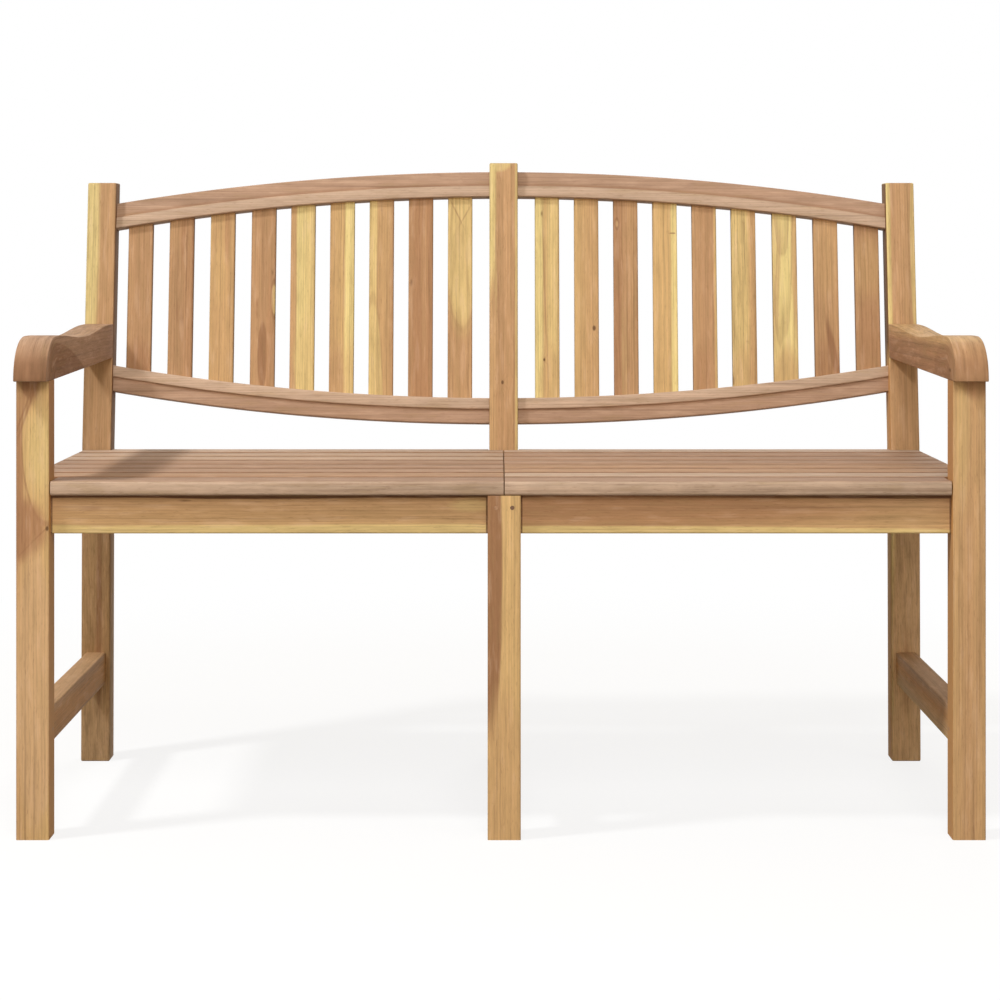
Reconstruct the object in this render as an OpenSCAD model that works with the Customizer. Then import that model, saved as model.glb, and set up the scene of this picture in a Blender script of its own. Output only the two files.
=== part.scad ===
// Teak garden bench with a slatted seat in two halves and a slatted back
// between arched rails. Side frames and a middle frame are mortised and pinned,
// and bolts with barrel nuts hold the long parts to the side frames.

/* [Overall] */
// Width over the legs and arms
bench_w = 1200; // [1100:10:1400]
// Height of the seat's top above the floor
seat_h = 444; // [410:1:480]
// Distance from the front of the front legs to the front of the rear feet
foot_span = 499; // [460:1:540]
// How far the middle frame stands to the right of the centre
middle_offset = 4; // [-15:1:15]

/* [Legs and posts] */
// Width of every leg, post and arm
leg_w = 41; // [38:1:46]
// Depth of a front leg
leg_d = 40; // [38:1:50]
// Depth of a rear post, measured level
post_d = 40; // [39:1:50]
// Height of the end posts above the seat
end_post_rise = 384; // [370:1:420]
// Height of the middle post above the seat
middle_post_rise = 413; // [408:1:450]
// Height of the posts' bend above the seat
bend_rise = 6; // [0:1:20]
// How far the bend lies behind the foot
bend_back = 10; // [0:1:30]
// Backward lean of the back in degrees
lean = 8.3; // [4:0.1:12]
// Radius of the frame's eased edges
ease = 2; // [0.5:0.5:3]

/* [Arms] */
// Height of the arms above the seat
arm_rise = 178; // [165:1:200]
// Thickness of an arm over the front leg
arm_t = 54; // [48:1:62]
// How far an arm's nose overhangs the front leg
nose_out = 20; // [0:1:40]
// Length of the rounded nose
nose_l = 77; // [60:1:100]
// Roundness of the nose: 2 is an ellipse, more is squarer
nose_power = 2.2; // [2:0.1:3]
// Depth of the scoop in an arm's top
scoop = 8.5; // [2:0.5:12]
// How much of the arm behind the nose is scooped
scoop_share = 0.93; // [0.7:0.01:1]
// Rise of an arm's top from the nose to the post
arm_lift = 1.8; // [0:0.1:5]
// Rise of an arm's underside towards the post
under_rise = 7; // [0:0.5:12]

/* [Seat] */
// Slats in each half of the seat
seat_slats = 8; // [6:1:8]
// Thickness of a seat slat
seat_slat_t = 18; // [16:1:22]
// Gap between two seat slats
seat_gap = 8.5; // [5:0.5:12]
// How far the last slats run back past the posts' front
past_posts = 15; // [0:1:22]
// Gap between the two halves of the seat
half_gap = 1; // [1:0.5:6]
// How far the long slats stop short of the legs' outer faces
slat_inset = 2; // [0:0.5:8]
// Radius of the seat slats' eased edges
slat_ease = 4; // [1:0.5:6]
// Clearance of a slat beside a leg or round a post
notch_gap = 1; // [0.5:0.1:2]

/* [Seat frame] */
// Height of the aprons and of the rails under the seat
rail_h = 48; // [46:1:60]
// Thickness of the front aprons and the rear rails
apron_t = 22; // [20:1:23]
// How far the front aprons lie behind the legs' faces
apron_set = 12; // [6:1:16]
// How far the rear rails lie behind the posts' faces
rear_set = 9; // [6:1:14]
// Thickness of a side seat rail
side_rail_t = 28; // [24:1:34]
// Thickness of the middle seat bearer
bearer_t = 36; // [34:1:38]
// Height of a low stretcher
stretcher_h = 45; // [38:1:60]
// Thickness of a low stretcher
stretcher_t = 28; // [22:1:34]
// Height of the stretchers above the floor
stretcher_up = 110; // [60:1:200]

/* [Back] */
// Height of an arched rail
arch_h = 36.5; // [34:0.5:42]
// Thickness of an arched rail through its bead
arch_t = 26; // [24:0.5:27]
// Height of the bead beside the slats
bead_h = 16; // [13:0.5:19]
// How far the bead stands proud of the rest of the rail
bead_out = 3; // [1.5:0.5:6]
// How far the bead lies behind the posts' faces
bead_set = 10; // [6:0.5:10]
// Height of the lower rail's middle above the bend, along the back
lower_up = 33; // [25:1:45]
// Clear height between the arched rails at the middle
back_opening = 294.5; // [270:0.5:296]
// Rise of each arch over the clear width
arch_rise = 47; // [30:1:60]
// Slats in each half of the back
back_slats = 9; // [6:1:9]
// Width of a back slat
back_slat_w = 35.5; // [28:0.5:40]
// Thickness of a back slat
back_slat_t = 13; // [11:0.5:14]
// How far the back slats lie behind the bead's face
slat_set = 8; // [5:0.5:9]
// Gap between the middle post and the first slat
first_gap = 25; // [15:0.5:35]
// Gap between the last slat and the nearer end post
last_gap = 9; // [5:0.5:20]
// Extra spacing of the three outer slats
outer_extra = 2.5; // [0:0.5:4]

/* [Joints] */
// Clearance round tenons, pins and hardware in their holes
fit = 0.2; // [0.1:0.05:0.4]
// Thickness of a frame tenon
tenon_t = 12; // [10:0.5:12]
// Height of a tenon under the seat
tenon_h = 14; // [12:1:15]
// Distance from a seat rail's edge to its tenon
tenon_margin = 8; // [6:0.5:8]
// Length of a tenon in a side frame
tenon_l = 22; // [18:1:28]
// Height of a tenon on a low stretcher
stretcher_tenon_h = 31; // [24:1:32]
// Height of the tenon between an arm and its post
arm_tenon_h = 24; // [18:1:26]
// Height of the tenon on top of a front leg
leg_tenon_h = 25; // [20:1:32]
// Length of a stub tenon at a bolt or in the middle frame
stub_l = 16; // [12:0.5:17]
// Height of a stub tenon on an arched rail
arch_tenon_h = 22; // [18:0.5:24]
// Distance from an arched rail's bead to its stub tenon
arch_tenon_in = 13.5; // [12:0.5:13.5]
// Length of a back slat's tenon
slat_tenon_l = 10; // [6:0.5:12]
// Thickness of a back slat's tenon
slat_tenon_t = 8; // [6:0.5:9]
// Shoulder left at each side of a back slat's tenon
slat_shoulder = 4; // [2:0.5:6]

/* [Pins and hardware] */
// Diameter of a wooden tenon pin
pin_d = 5; // [4:0.5:8]
// Length of a wooden tenon pin
pin_l = 34; // [32:1:36]
// Distance from a stub tenon's shoulder to its pin
stub_pin_in = 10.5; // [8:0.5:11]
// Diameter of a bolt
bolt_d = 6; // [5:0.5:6.5]
// Length of a bolt under its head
bolt_l = 70; // [66:1:80]
// Diameter of a bolt head
bolt_head_d = 10; // [9:0.5:12]
// Height of a bolt head
bolt_head_h = 6; // [4:0.5:7]
// Width across the flats of the socket in a bolt head
socket_w = 5; // [3:0.5:5.5]
// Depth of the sunk hole for a bolt head
sink_h = 8; // [7.5:0.5:11]
// Diameter of a barrel nut
nut_d = 10; // [9:0.5:11]
// Length of a barrel nut
nut_l = 12; // [10:0.5:12]
// Distance from a rail's shoulder to its barrel nut
nut_in = 30; // [25:1:34]
// Diameter of a slat screw
screw_d = 4; // [3.5:0.5:5]
// Length of a slat screw under its head
screw_l = 26; // [24:0.5:28]
// Diameter of a slat screw's head
screw_head_d = 8; // [7:0.5:9]
// Height of a slat screw's head
screw_head_h = 2.5; // [2:0.5:3]
// How far a slat screw reaches into its slat
screw_bite = 12; // [8:0.5:13]

/* [Hidden] */
SIDES = ["left", "right"];

// Wood tones, as the pieces differ in the photo, and steel
honey = [0.77, 0.60, 0.42];
tan_brown = [0.70, 0.52, 0.36];
pink_brown = [0.70, 0.53, 0.42];
sapwood = [0.86, 0.75, 0.48];
pin_brown = [0.45, 0.30, 0.18];
steel = [0.72, 0.72, 0.70];
// Tones of the back slats, counted from the middle post outwards
left_tones = [sapwood, pink_brown, tan_brown, honey, sapwood, tan_brown, honey, pink_brown, tan_brown];
right_tones = [sapwood, honey, pink_brown, honey, pink_brown, sapwood, sapwood, tan_brown, tan_brown];

// How far a tenon's root runs back into its own rail
root = 9;
// How far a cut runs past the surface that it opens
past = 1;
// Facets of small round shapes and of the two great arcs
$fn = 32;
arc_fn = 720;

// Faces of the frames, seen from the front
outer_x = bench_w / 2;
inner_x = outer_x - leg_w;
function side_sign(side) = side == "left" ? -1 : side == "right" ? 1 : 0;
function frame_x(side) = side == "middle" ? middle_offset : side_sign(side) * (outer_x - leg_w / 2);
// The two shoulders between which a long piece of one half lies, low x first
function half_span(side) = side == "left"
    ? [-inner_x, middle_offset - leg_w / 2]
    : [middle_offset + leg_w / 2, inner_x];

// Heights
rail_top = seat_h - seat_slat_t;
rail_z = rail_top - rail_h;
low_tenon_z = rail_z + tenon_margin + tenon_h / 2;
high_tenon_z = rail_top - tenon_margin - tenon_h / 2;
stretcher_z = stretcher_up + stretcher_h / 2;
bend_h = seat_h + bend_rise;
arm_top = seat_h + arm_rise;
arm_under = arm_top - arm_t;
arm_tenon_z = (arm_top + arm_under + under_rise) / 2;
leg_pin_z = arm_under + leg_tenon_h / 2;

// Depths, from the plane of the front legs' faces
bend_y = foot_span + bend_back;
function post_front(z) = z < bend_h
    ? foot_span + bend_back * z / bend_h
    : bend_y + (z - bend_h) * tan(lean);
apron_y = apron_set + apron_t / 2;
rear_rail_y = post_front(rail_top) + rear_set + apron_t / 2;
seat_d = post_front(seat_h) + past_posts;
seat_pitch = (seat_d + seat_gap) / seat_slats;
seat_slat_w = seat_pitch - seat_gap;
// The middle of the whole bench, from the arms' noses to the middle post's top
back_reach = post_front(seat_h + middle_post_rise) + post_d;
centre_y = (back_reach - nose_out) / 2;

// The back's own plane: n runs back from the posts' faces, u runs up along them
post_n = post_d * cos(lean);
arch_r = (pow(inner_x, 2) + pow(arch_rise, 2)) / (2 * arch_rise);
lower_mid_u = lower_up + arch_h / 2;
top_mid_u = lower_up + back_opening + arch_h * 3 / 2;
function arch_drop(x) = arch_r - sqrt(arch_r * arch_r - x * x);
function lower_u(x) = lower_mid_u + arch_drop(x);
function top_u(x) = top_mid_u - arch_drop(x);
arch_tenon_n = bead_set + arch_tenon_in + tenon_t / 2;
slat_n = bead_set + slat_set;
slat_tenon_n = slat_n + back_slat_t / 2;

// Back slats, counted from the middle post outwards
first_slat = leg_w / 2 + first_gap + back_slat_w / 2;
last_slat = inner_x - abs(middle_offset) - last_gap - back_slat_w / 2;
slat_pitch = (last_slat - first_slat - 3 * outer_extra) / (back_slats - 1);
function slat_x(side, i) = middle_offset + side_sign(side)
    * (first_slat + (i - 1) * slat_pitch + max(0, i - (back_slats - 3)) * outer_extra);

// Seat slats, counted from the front
function seat_slat_y(i) = (i - 1) * seat_pitch;
function slat_screw_y(i) = (seat_slat_y(i)
    + min(seat_slat_y(i) + seat_slat_w, post_front(seat_h) - notch_gap)) / 2;
// Screw places under the seat, as [x, y]
bearer_screw_x = bearer_t / 4;
function apron_screw_x(side, j) = half_span(side)[0]
    + (half_span(side)[1] - half_span(side)[0]) * (j - 0.5) / 3;
side_screws = [for (s = SIDES, i = [2:seat_slats]) [frame_x(s), slat_screw_y(i)]];
bearer_screws = [for (s = SIDES, i = [2:seat_slats])
    [middle_offset + side_sign(s) * bearer_screw_x, slat_screw_y(i)]];
apron_screws = [for (s = SIDES, j = [1:3]) [apron_screw_x(s, j), apron_y]];

// Pin places in a frame, as [y, z], for the pins that run across it
function frame_pins_at(side) = concat(
    [[leg_d - tenon_l / 2, stretcher_z], [post_front(stretcher_z) + tenon_l / 2, stretcher_z]],
    [[leg_d - tenon_l / 2, low_tenon_z], [post_front(low_tenon_z) + tenon_l / 2, low_tenon_z]],
    side == "middle" ? [] : [[leg_d / 2, leg_pin_z]],
    side == "middle" ? [] : [[post_front(arm_tenon_z) + tenon_l / 2, arm_tenon_z]]);

// Moves the bench so that the middle of its footprint is the origin
module in_frame() {
    translate([0, -centre_y, 0]) children();
}

// Puts the back's own plane in the bench: x, n, u become x, y, z
module in_back() {
    translate([0, bend_y, bend_h]) rotate([-lean, 0, 0]) children();
}

// A rectangle with eased corners, centred
module eased(w, h, r) {
    square([w - 2 * r, h], center = true);
    square([w, h - 2 * r], center = true);
    for (sx = [-1, 1], sy = [-1, 1])
        translate([sx * (w / 2 - r), sy * (h / 2 - r)]) circle(r = r, $fn = 24);
}

// Eased bars along each axis, from one end, centred on the other two axes
module bar_x(x0, x1, y, z, w, h, r) {
    translate([x0, y, z]) rotate([90, 0, 90]) linear_extrude(x1 - x0) eased(w, h, r);
}
module bar_y(y0, y1, x, z, w, h, r) {
    translate([x, y1, z]) rotate([90, 0, 0]) linear_extrude(y1 - y0) eased(w, h, r);
}
module bar_z(z0, z1, x, y, w, d, r) {
    translate([x, y, z0]) linear_extrude(z1 - z0) eased(w, d, r);
}

// A tenon between two corners, or with slack its mortise
module block(low, high, slack = 0) {
    grow = [slack, slack, slack];
    translate(low - grow) cube(high - low + 2 * grow);
}

// Side outline of a rear post, as [y, z]
function post_outline(h) = [
    [foot_span, 0], [bend_y, bend_h], [post_front(h), h],
    [post_front(h) + post_d, h], [bend_y + post_d, bend_h], [foot_span + post_d, 0]];

// Draws a [y, z] outline across the bench, centred on x
module across(x, w) {
    translate([x - w / 2, 0, 0]) rotate([90, 0, 90]) linear_extrude(w) children();
}

module post_solid(side, slack = 0) {
    h = seat_h + (side == "middle" ? middle_post_rise : end_post_rise);
    across(frame_x(side), leg_w + 2 * slack) translate([-slack, 0]) polygon(post_outline(h));
}

// A pin, or with slack its hole
module pin(slack = 0) {
    cylinder(d = pin_d + 2 * slack, h = pin_l + slack);
    if (slack > 0) translate([0, 0, -past]) cylinder(d = pin_d + 2 * slack, h = past * 2);
}

// The pins that run across a frame, each driven from its hidden inner face
module frame_pins(side, slack = 0) {
    face = side == "middle" ? middle_offset + leg_w / 2 : side_sign(side) * inner_x;
    turn = side == "right" ? 90 : -90;
    for (p = frame_pins_at(side))
        translate([face, p[0], p[1]]) rotate([0, turn, 0]) pin(slack);
}

// The pins that lock the middle leg's stub tenons, driven from its face
module leg_stub_pins(slack = 0) {
    for (s = [-1, 1])
        translate([middle_offset + s * (leg_w / 2 - stub_pin_in), 0, high_tenon_z])
            rotate([-90, 0, 0]) pin(slack);
}

// The pins that lock the middle post's stub tenons, driven from its back
module post_stub_pins(slack = 0) {
    for (s = [-1, 1]) {
        x = middle_offset + s * (leg_w / 2 - stub_pin_in);
        translate([x, post_front(high_tenon_z) + post_d, high_tenon_z])
            rotate([90, 0, 0]) pin(slack);
        in_back() for (u = [lower_u(x), top_u(x)])
            translate([x, post_n, u]) rotate([90, 0, 0]) pin(slack);
    }
}

// Puts a bolt, its hole or its nut on each bolted joint of a side frame. In an
// arched rail the bolt is level and meets the rail's mid-line at the barrel nut.
module at_apron_bolt() {
    translate([0, apron_y, high_tenon_z]) children();
}
module at_rear_bolt() {
    translate([0, rear_rail_y, high_tenon_z]) children();
}
module at_back_bolts() {
    in_back() for (u = [lower_u(inner_x - nut_in), top_u(inner_x - nut_in)])
        translate([0, arch_tenon_n, u]) children();
}

// A bolt along x, its head sunk in the leg's or post's outer face
module bolt(side) {
    turn = side == "right" ? -90 : 90;
    translate([side_sign(side) * (outer_x - sink_h), 0, 0]) rotate([0, turn, 0]) {
        cylinder(d = bolt_d, h = bolt_l);
        translate([0, 0, -bolt_head_h]) difference() {
            cylinder(d = bolt_head_d, h = bolt_head_h);
            translate([0, 0, -past])
                cylinder(d = socket_w / cos(30), h = bolt_head_h * 0.6 + past, $fn = 6);
        }
    }
}

module bolt_hole(side) {
    turn = side == "right" ? -90 : 90;
    translate([side_sign(side) * (outer_x - sink_h), 0, 0]) rotate([0, turn, 0]) {
        cylinder(d = bolt_d + 2 * fit, h = bolt_l + 2);
        translate([0, 0, -sink_h - past]) cylinder(d = bolt_head_d + 4 * fit, h = sink_h + past);
    }
}

// A barrel nut across its rail, and the hole that opens in the rail's back
module nut(side) {
    translate([side_sign(side) * (inner_x - nut_in), nut_l / 2, 0]) rotate([90, 0, 0])
        difference() {
            cylinder(d = nut_d, h = nut_l);
            translate([0, 0, nut_l / 2]) rotate([0, 90, 0])
                cylinder(d = bolt_d + fit, h = nut_d + 2 * past, center = true);
        }
}

module nut_hole(side, to_back) {
    translate([side_sign(side) * (inner_x - nut_in), to_back + past, 0]) rotate([90, 0, 0])
        cylinder(d = nut_d + 2 * fit, h = to_back + past + nut_l / 2 + fit);
}

// A slat screw with its head down, and the hole for it in a rail or slat
module screw() {
    translate([0, 0, rail_top + screw_bite - screw_l]) {
        cylinder(d = screw_d, h = screw_l);
        translate([0, 0, -screw_head_h]) cylinder(d = screw_head_d, h = screw_head_h);
    }
}

module screw_hole() {
    seat = rail_top + screw_bite - screw_l;
    cylinder(d = screw_d + fit, h = rail_top + screw_bite + fit);
    cylinder(d = screw_head_d + 4 * fit, h = seat);
}

module screw_holes(places) {
    for (p = places) translate([p[0], p[1], 0]) screw_hole();
}

// Tenons of the side frames' rails, shared with their mortises
module rail_tenons(side, z, h, slack = 0) {
    x = frame_x(side);
    y = post_front(z);
    block([x - tenon_t / 2, leg_d - tenon_l, z - h / 2], [x + tenon_t / 2, leg_d + root, z + h / 2], slack);
    block([x - tenon_t / 2, y - root, z - h / 2], [x + tenon_t / 2, y + tenon_l, z + h / 2], slack);
}

module leg_top_tenon(side, slack = 0) {
    x = frame_x(side);
    block([x - tenon_t, leg_d / 2 - tenon_t, arm_under - root],
        [x + tenon_t, leg_d / 2 + tenon_t, arm_under + leg_tenon_h], slack);
}

module arm_tenon(side, slack = 0) {
    x = frame_x(side);
    y = post_front(arm_tenon_z);
    block([x - tenon_t / 2, y - root, arm_tenon_z - arm_tenon_h / 2],
        [x + tenon_t / 2, y + tenon_l, arm_tenon_z + arm_tenon_h / 2], slack);
}

// Stub tenons at both ends of a straight rail of one half, centred on y
module straight_stubs(side, y, slack = 0) {
    for (end = [0, 1]) {
        x = half_span(side)[end];
        out = end * stub_l + (1 - end) * root;
        in = end * root + (1 - end) * stub_l;
        block([x - in, y - tenon_t / 2, high_tenon_z - tenon_h / 2],
            [x + out, y + tenon_t / 2, high_tenon_z + tenon_h / 2], slack);
    }
}

// Stub tenons at both ends of the two arched rails of one half, in the back's plane
module arch_stubs(side, top, slack = 0) {
    for (end = [0, 1]) {
        x = half_span(side)[end];
        u = top ? top_u(x) : lower_u(x);
        out = end * stub_l + (1 - end) * root;
        in = end * root + (1 - end) * stub_l;
        block([x - in, arch_tenon_n - tenon_t / 2, u - arch_tenon_h / 2],
            [x + out, arch_tenon_n + tenon_t / 2, u + arch_tenon_h / 2], slack);
    }
}

// Tenons of one back slat, shared with their mortises
module slat_tenons(side, i, slack = 0) {
    x = slat_x(side, i);
    half = back_slat_w / 2 - slat_shoulder;
    low = lower_u(x) + arch_h / 2;
    high = top_u(x) - arch_h / 2;
    for (span = [[low - slat_tenon_l, low + root], [high - root, high + slat_tenon_l]])
        block([x - half, slat_tenon_n - slat_tenon_t / 2, span[0]],
            [x + half, slat_tenon_n + slat_tenon_t / 2, span[1]], slack);
}

// A shape in the back's plane, drawn as [x, u] and given thickness from n0 to n1
module in_plane(n0, n1) {
    translate([0, n1, 0]) rotate([90, 0, 0]) linear_extrude(n1 - n0) children();
}

// Part of an arched rail between two heights above its mid-line, in one half
module arch_band(side, top, from, to) {
    span = half_span(side);
    flip = top ? 1 : -1;
    intersection() {
        translate([0, top ? top_mid_u - arch_r : lower_mid_u + arch_r]) difference() {
            circle(r = arch_r + to, $fn = arc_fn);
            circle(r = arch_r + from, $fn = arc_fn);
        }
        translate([span[0], top ? 0 : -arch_rise])
            square([span[1] - span[0], top_mid_u + arch_rise + arch_h]);
    }
}

module front_leg(side) {
    tall = side == "middle" ? rail_top : arm_under;
    color(honey) in_frame() difference() {
        union() {
            bar_z(0, tall, frame_x(side), leg_d / 2, leg_w, leg_d, ease);
            if (side != "middle") leg_top_tenon(side);
        }
        rail_tenons(side, stretcher_z, stretcher_tenon_h, fit);
        rail_tenons(side, low_tenon_z, tenon_h, fit);
        for (s = SIDES) if (side == s || side == "middle") straight_stubs(s, apron_y, fit);
        frame_pins(side, fit);
        if (side == "middle") leg_stub_pins(fit);
        if (side != "middle") at_apron_bolt() bolt_hole(side);
    }
}

module rear_post(side) {
    color(tan_brown) in_frame() difference() {
        post_solid(side);
        rail_tenons(side, stretcher_z, stretcher_tenon_h, fit);
        rail_tenons(side, low_tenon_z, tenon_h, fit);
        for (s = SIDES) if (side == s || side == "middle") {
            straight_stubs(s, rear_rail_y, fit);
            in_back() arch_stubs(s, true, fit);
            in_back() arch_stubs(s, false, fit);
        }
        frame_pins(side, fit);
        if (side == "middle") post_stub_pins(fit);
        if (side != "middle") {
            arm_tenon(side, fit);
            at_rear_bolt() bolt_hole(side);
            at_back_bolts() bolt_hole(side);
        }
    }
}

// Side outline of an arm: the nose, the scooped top, then the rising underside
nose_steps = 12;
scoop_steps = 18;
arm_end = post_front(arm_top) + root;
nose_end = nose_l - nose_out;
function nose_point(a) = [
    nose_end - nose_l * pow(cos(a), 2 / nose_power),
    arm_under + arm_t * pow(sin(a), 2 / nose_power)];
function scoop_point(t) = [
    nose_end + t * (arm_end - nose_end),
    arm_top + arm_lift * t - scoop * pow(sin(180 * min(1, t / scoop_share)), 2)];
arm_outline = concat(
    [for (k = [0:nose_steps]) nose_point(90 * k / nose_steps)],
    [for (k = [1:scoop_steps]) scoop_point(k / scoop_steps)],
    [[arm_end, arm_under + under_rise], [leg_d, arm_under]]);

module armrest(side) {
    color(tan_brown) in_frame() difference() {
        union() {
            difference() {
                across(frame_x(side), leg_w) polygon(arm_outline);
                post_solid(side);
            }
            arm_tenon(side);
        }
        leg_top_tenon(side, fit);
        frame_pins(side, fit);
    }
}

// A rail of a frame from the front leg back to the post
module frame_rail(side, z, h, t, tenon_z, tall) {
    difference() {
        union() {
            difference() {
                bar_y(leg_d, post_front(z) + root, frame_x(side), z, t, h, ease);
                post_solid(side);
            }
            rail_tenons(side, tenon_z, tall);
        }
        frame_pins(side, fit);
    }
}

module stretcher(side) {
    color(honey) in_frame()
        frame_rail(side, stretcher_z, stretcher_h, stretcher_t, stretcher_z, stretcher_tenon_h);
}

module seat_rail(side) {
    color(honey) in_frame() difference() {
        frame_rail(side, rail_z + rail_h / 2, rail_h, side == "middle" ? bearer_t : side_rail_t,
            low_tenon_z, tenon_h);
        screw_holes(side == "middle" ? bearer_screws : side_screws);
    }
}

// A straight rail of one half between an end leg or post and the middle one
module straight_rail(side, y) {
    span = half_span(side);
    bar_x(span[0], span[1], y, rail_z + rail_h / 2, apron_t, rail_h, ease);
    straight_stubs(side, y);
}

module front_apron(side) {
    color(side == "left" ? tan_brown : pink_brown) in_frame() difference() {
        straight_rail(side, apron_y);
        at_apron_bolt() bolt_hole(side);
        at_apron_bolt() nut_hole(side, apron_t / 2);
        leg_stub_pins(fit);
        screw_holes(apron_screws);
    }
}

module rear_rail(side) {
    color(tan_brown) in_frame() difference() {
        straight_rail(side, rear_rail_y);
        at_rear_bolt() bolt_hole(side);
        at_rear_bolt() nut_hole(side, apron_t / 2);
        post_stub_pins(fit);
    }
}

module arch_rail(side, top) {
    back_n = bead_set + arch_t;
    bead = [-arch_h / 2, bead_h - arch_h / 2];
    color(pink_brown) in_frame() difference() {
        in_back() difference() {
            union() {
                in_plane(bead_set + bead_out, back_n) arch_band(side, top, -arch_h / 2, arch_h / 2);
                in_plane(bead_set, back_n) arch_band(side, top, bead[0], bead[1]);
                arch_stubs(side, top);
            }
            for (i = [1:back_slats]) slat_tenons(side, i, fit);
        }
        post_stub_pins(fit);
        at_back_bolts() bolt_hole(side);
        at_back_bolts() nut_hole(side, back_n - arch_tenon_n);
    }
}

module back_slat(side, i) {
    lens_r = arch_r - arch_h / 2 - fit;
    tones = side == "left" ? left_tones : right_tones;
    color(tones[i - 1]) in_frame() in_back() {
        intersection() {
            bar_z(lower_mid_u, top_mid_u, slat_x(side, i), slat_n + back_slat_t / 2,
                back_slat_w, back_slat_t, ease);
            in_plane(slat_n - past, slat_n + back_slat_t + past) intersection() {
                translate([0, top_mid_u - arch_r]) circle(r = lens_r, $fn = arc_fn);
                translate([0, lower_mid_u + arch_r]) circle(r = lens_r, $fn = arc_fn);
            }
        }
        slat_tenons(side, i);
    }
}

// The first slat lies between the legs, the others run out over the side rails
module seat_slat(side, i) {
    s = side_sign(side);
    mid = middle_offset + s * half_gap / 2;
    end = s * (i == 1 ? inner_x - notch_gap : outer_x - slat_inset);
    y = seat_slat_y(i) + seat_slat_w / 2;
    color(pink_brown) in_frame() difference() {
        bar_x(min(mid, end), max(mid, end), y, seat_h - seat_slat_t / 2,
            seat_slat_w, seat_slat_t, slat_ease);
        if (i == seat_slats) {
            post_solid(side, notch_gap);
            post_solid("middle", notch_gap);
        }
        screw_holes([for (p = concat(side_screws, bearer_screws, apron_screws))
            if (p[0] * s > middle_offset * s && abs(p[1] - y) < seat_slat_w / 2) p]);
    }
}

module tenon_pins() {
    color(pin_brown) in_frame() {
        for (side = concat(SIDES, ["middle"])) frame_pins(side);
        leg_stub_pins();
        post_stub_pins();
    }
}

module assembly_bolts() {
    color(steel) in_frame() for (side = SIDES) {
        at_apron_bolt() bolt(side);
        at_rear_bolt() bolt(side);
        at_back_bolts() bolt(side);
    }
}

module barrel_nuts() {
    color(steel) in_frame() for (side = SIDES) {
        at_apron_bolt() nut(side);
        at_rear_bolt() nut(side);
        at_back_bolts() nut(side);
    }
}

module slat_screws() {
    color(steel) in_frame()
        for (p = concat(side_screws, bearer_screws, apron_screws)) translate([p[0], p[1], 0]) screw();
}

front_leg("left");  // front_leg_left
front_leg("right");  // front_leg_right
front_leg("middle");  // front_leg_middle
rear_post("left");  // rear_post_left
rear_post("right");  // rear_post_right
rear_post("middle");  // rear_post_middle
armrest("left");  // armrest_left
armrest("right");  // armrest_right
stretcher("left");  // stretcher_left
stretcher("right");  // stretcher_right
stretcher("middle");  // stretcher_middle
seat_rail("left");  // seat_rail_left
seat_rail("right");  // seat_rail_right
seat_rail("middle");  // seat_bearer_middle
front_apron("left");  // front_apron_left
front_apron("right");  // front_apron_right
rear_rail("left");  // rear_rail_left
rear_rail("right");  // rear_rail_right
arch_rail("left", true);  // top_rail_left
arch_rail("right", true);  // top_rail_right
arch_rail("left", false);  // lower_rail_left
arch_rail("right", false);  // lower_rail_right
for (s = SIDES, i = [1:back_slats])
    back_slat(s, i);
for (s = SIDES, i = [1:seat_slats])
    seat_slat(s, i);
tenon_pins();
assembly_bolts();
barrel_nuts();
slat_screws();
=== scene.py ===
# %% [markdown]
# A teak garden bench, dressed for its picture. The pieces come from the packed
# model, which fixes every size and place. This lesson gives them their wood:
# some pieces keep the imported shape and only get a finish, others are modelled
# again with softer edges, in the very same place.

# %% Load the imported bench
import math

import bmesh
import bpy
from mathutils import Euler, Matrix, Vector


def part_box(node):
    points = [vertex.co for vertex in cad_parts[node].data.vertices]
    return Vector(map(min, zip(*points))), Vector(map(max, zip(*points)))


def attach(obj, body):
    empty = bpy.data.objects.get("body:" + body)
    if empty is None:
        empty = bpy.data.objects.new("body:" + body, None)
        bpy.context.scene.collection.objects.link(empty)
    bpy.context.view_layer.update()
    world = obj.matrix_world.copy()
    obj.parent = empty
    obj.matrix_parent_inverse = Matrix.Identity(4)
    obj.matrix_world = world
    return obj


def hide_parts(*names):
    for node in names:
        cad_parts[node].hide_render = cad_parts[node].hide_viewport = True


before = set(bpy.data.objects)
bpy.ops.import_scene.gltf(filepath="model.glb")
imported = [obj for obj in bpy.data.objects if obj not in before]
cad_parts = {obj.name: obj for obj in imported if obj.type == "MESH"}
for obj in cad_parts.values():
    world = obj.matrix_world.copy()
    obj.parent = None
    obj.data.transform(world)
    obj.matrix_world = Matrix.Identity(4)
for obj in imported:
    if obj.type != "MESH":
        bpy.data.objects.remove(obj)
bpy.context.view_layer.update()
print("pieces in the packed model:", len(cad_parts))

# %% [markdown]
# The sizes are in millimetres and are the ones that the bench is built to. The
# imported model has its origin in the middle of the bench's footprint. Depths count
# from the front legs' faces here, as a joiner measures them, so one value shifts
# them all.

# %% Sizes of the bench
MM = 0.001
HALF_W = 600.0  # half the width over the arms
LEG_W, LEG_D = 41.0, 40.0
INNER_X = HALF_W - LEG_W  # the outer legs' inner faces
MIDDLE_X = 4.0  # the middle frame stands a little to the right
BEND_Y, BEND_Z, LEAN = 509.0, 450.0, math.radians(8.3)  # the bend in the rear posts' front faces
FOOT_Y = 499.0  # the same faces at the floor
POST_D = 40.0
CENTRE_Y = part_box("front_leg_left")[0].y / -MM
SEAT_TOP = 444.0
print("the front legs' faces lie %.1f mm before the middle" % CENTRE_Y)


def place(x, y, z):
    """A point in millimetres, counted from the front legs' faces, in the frame's metres."""
    return Vector((x, y - CENTRE_Y, z)) * MM


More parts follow.
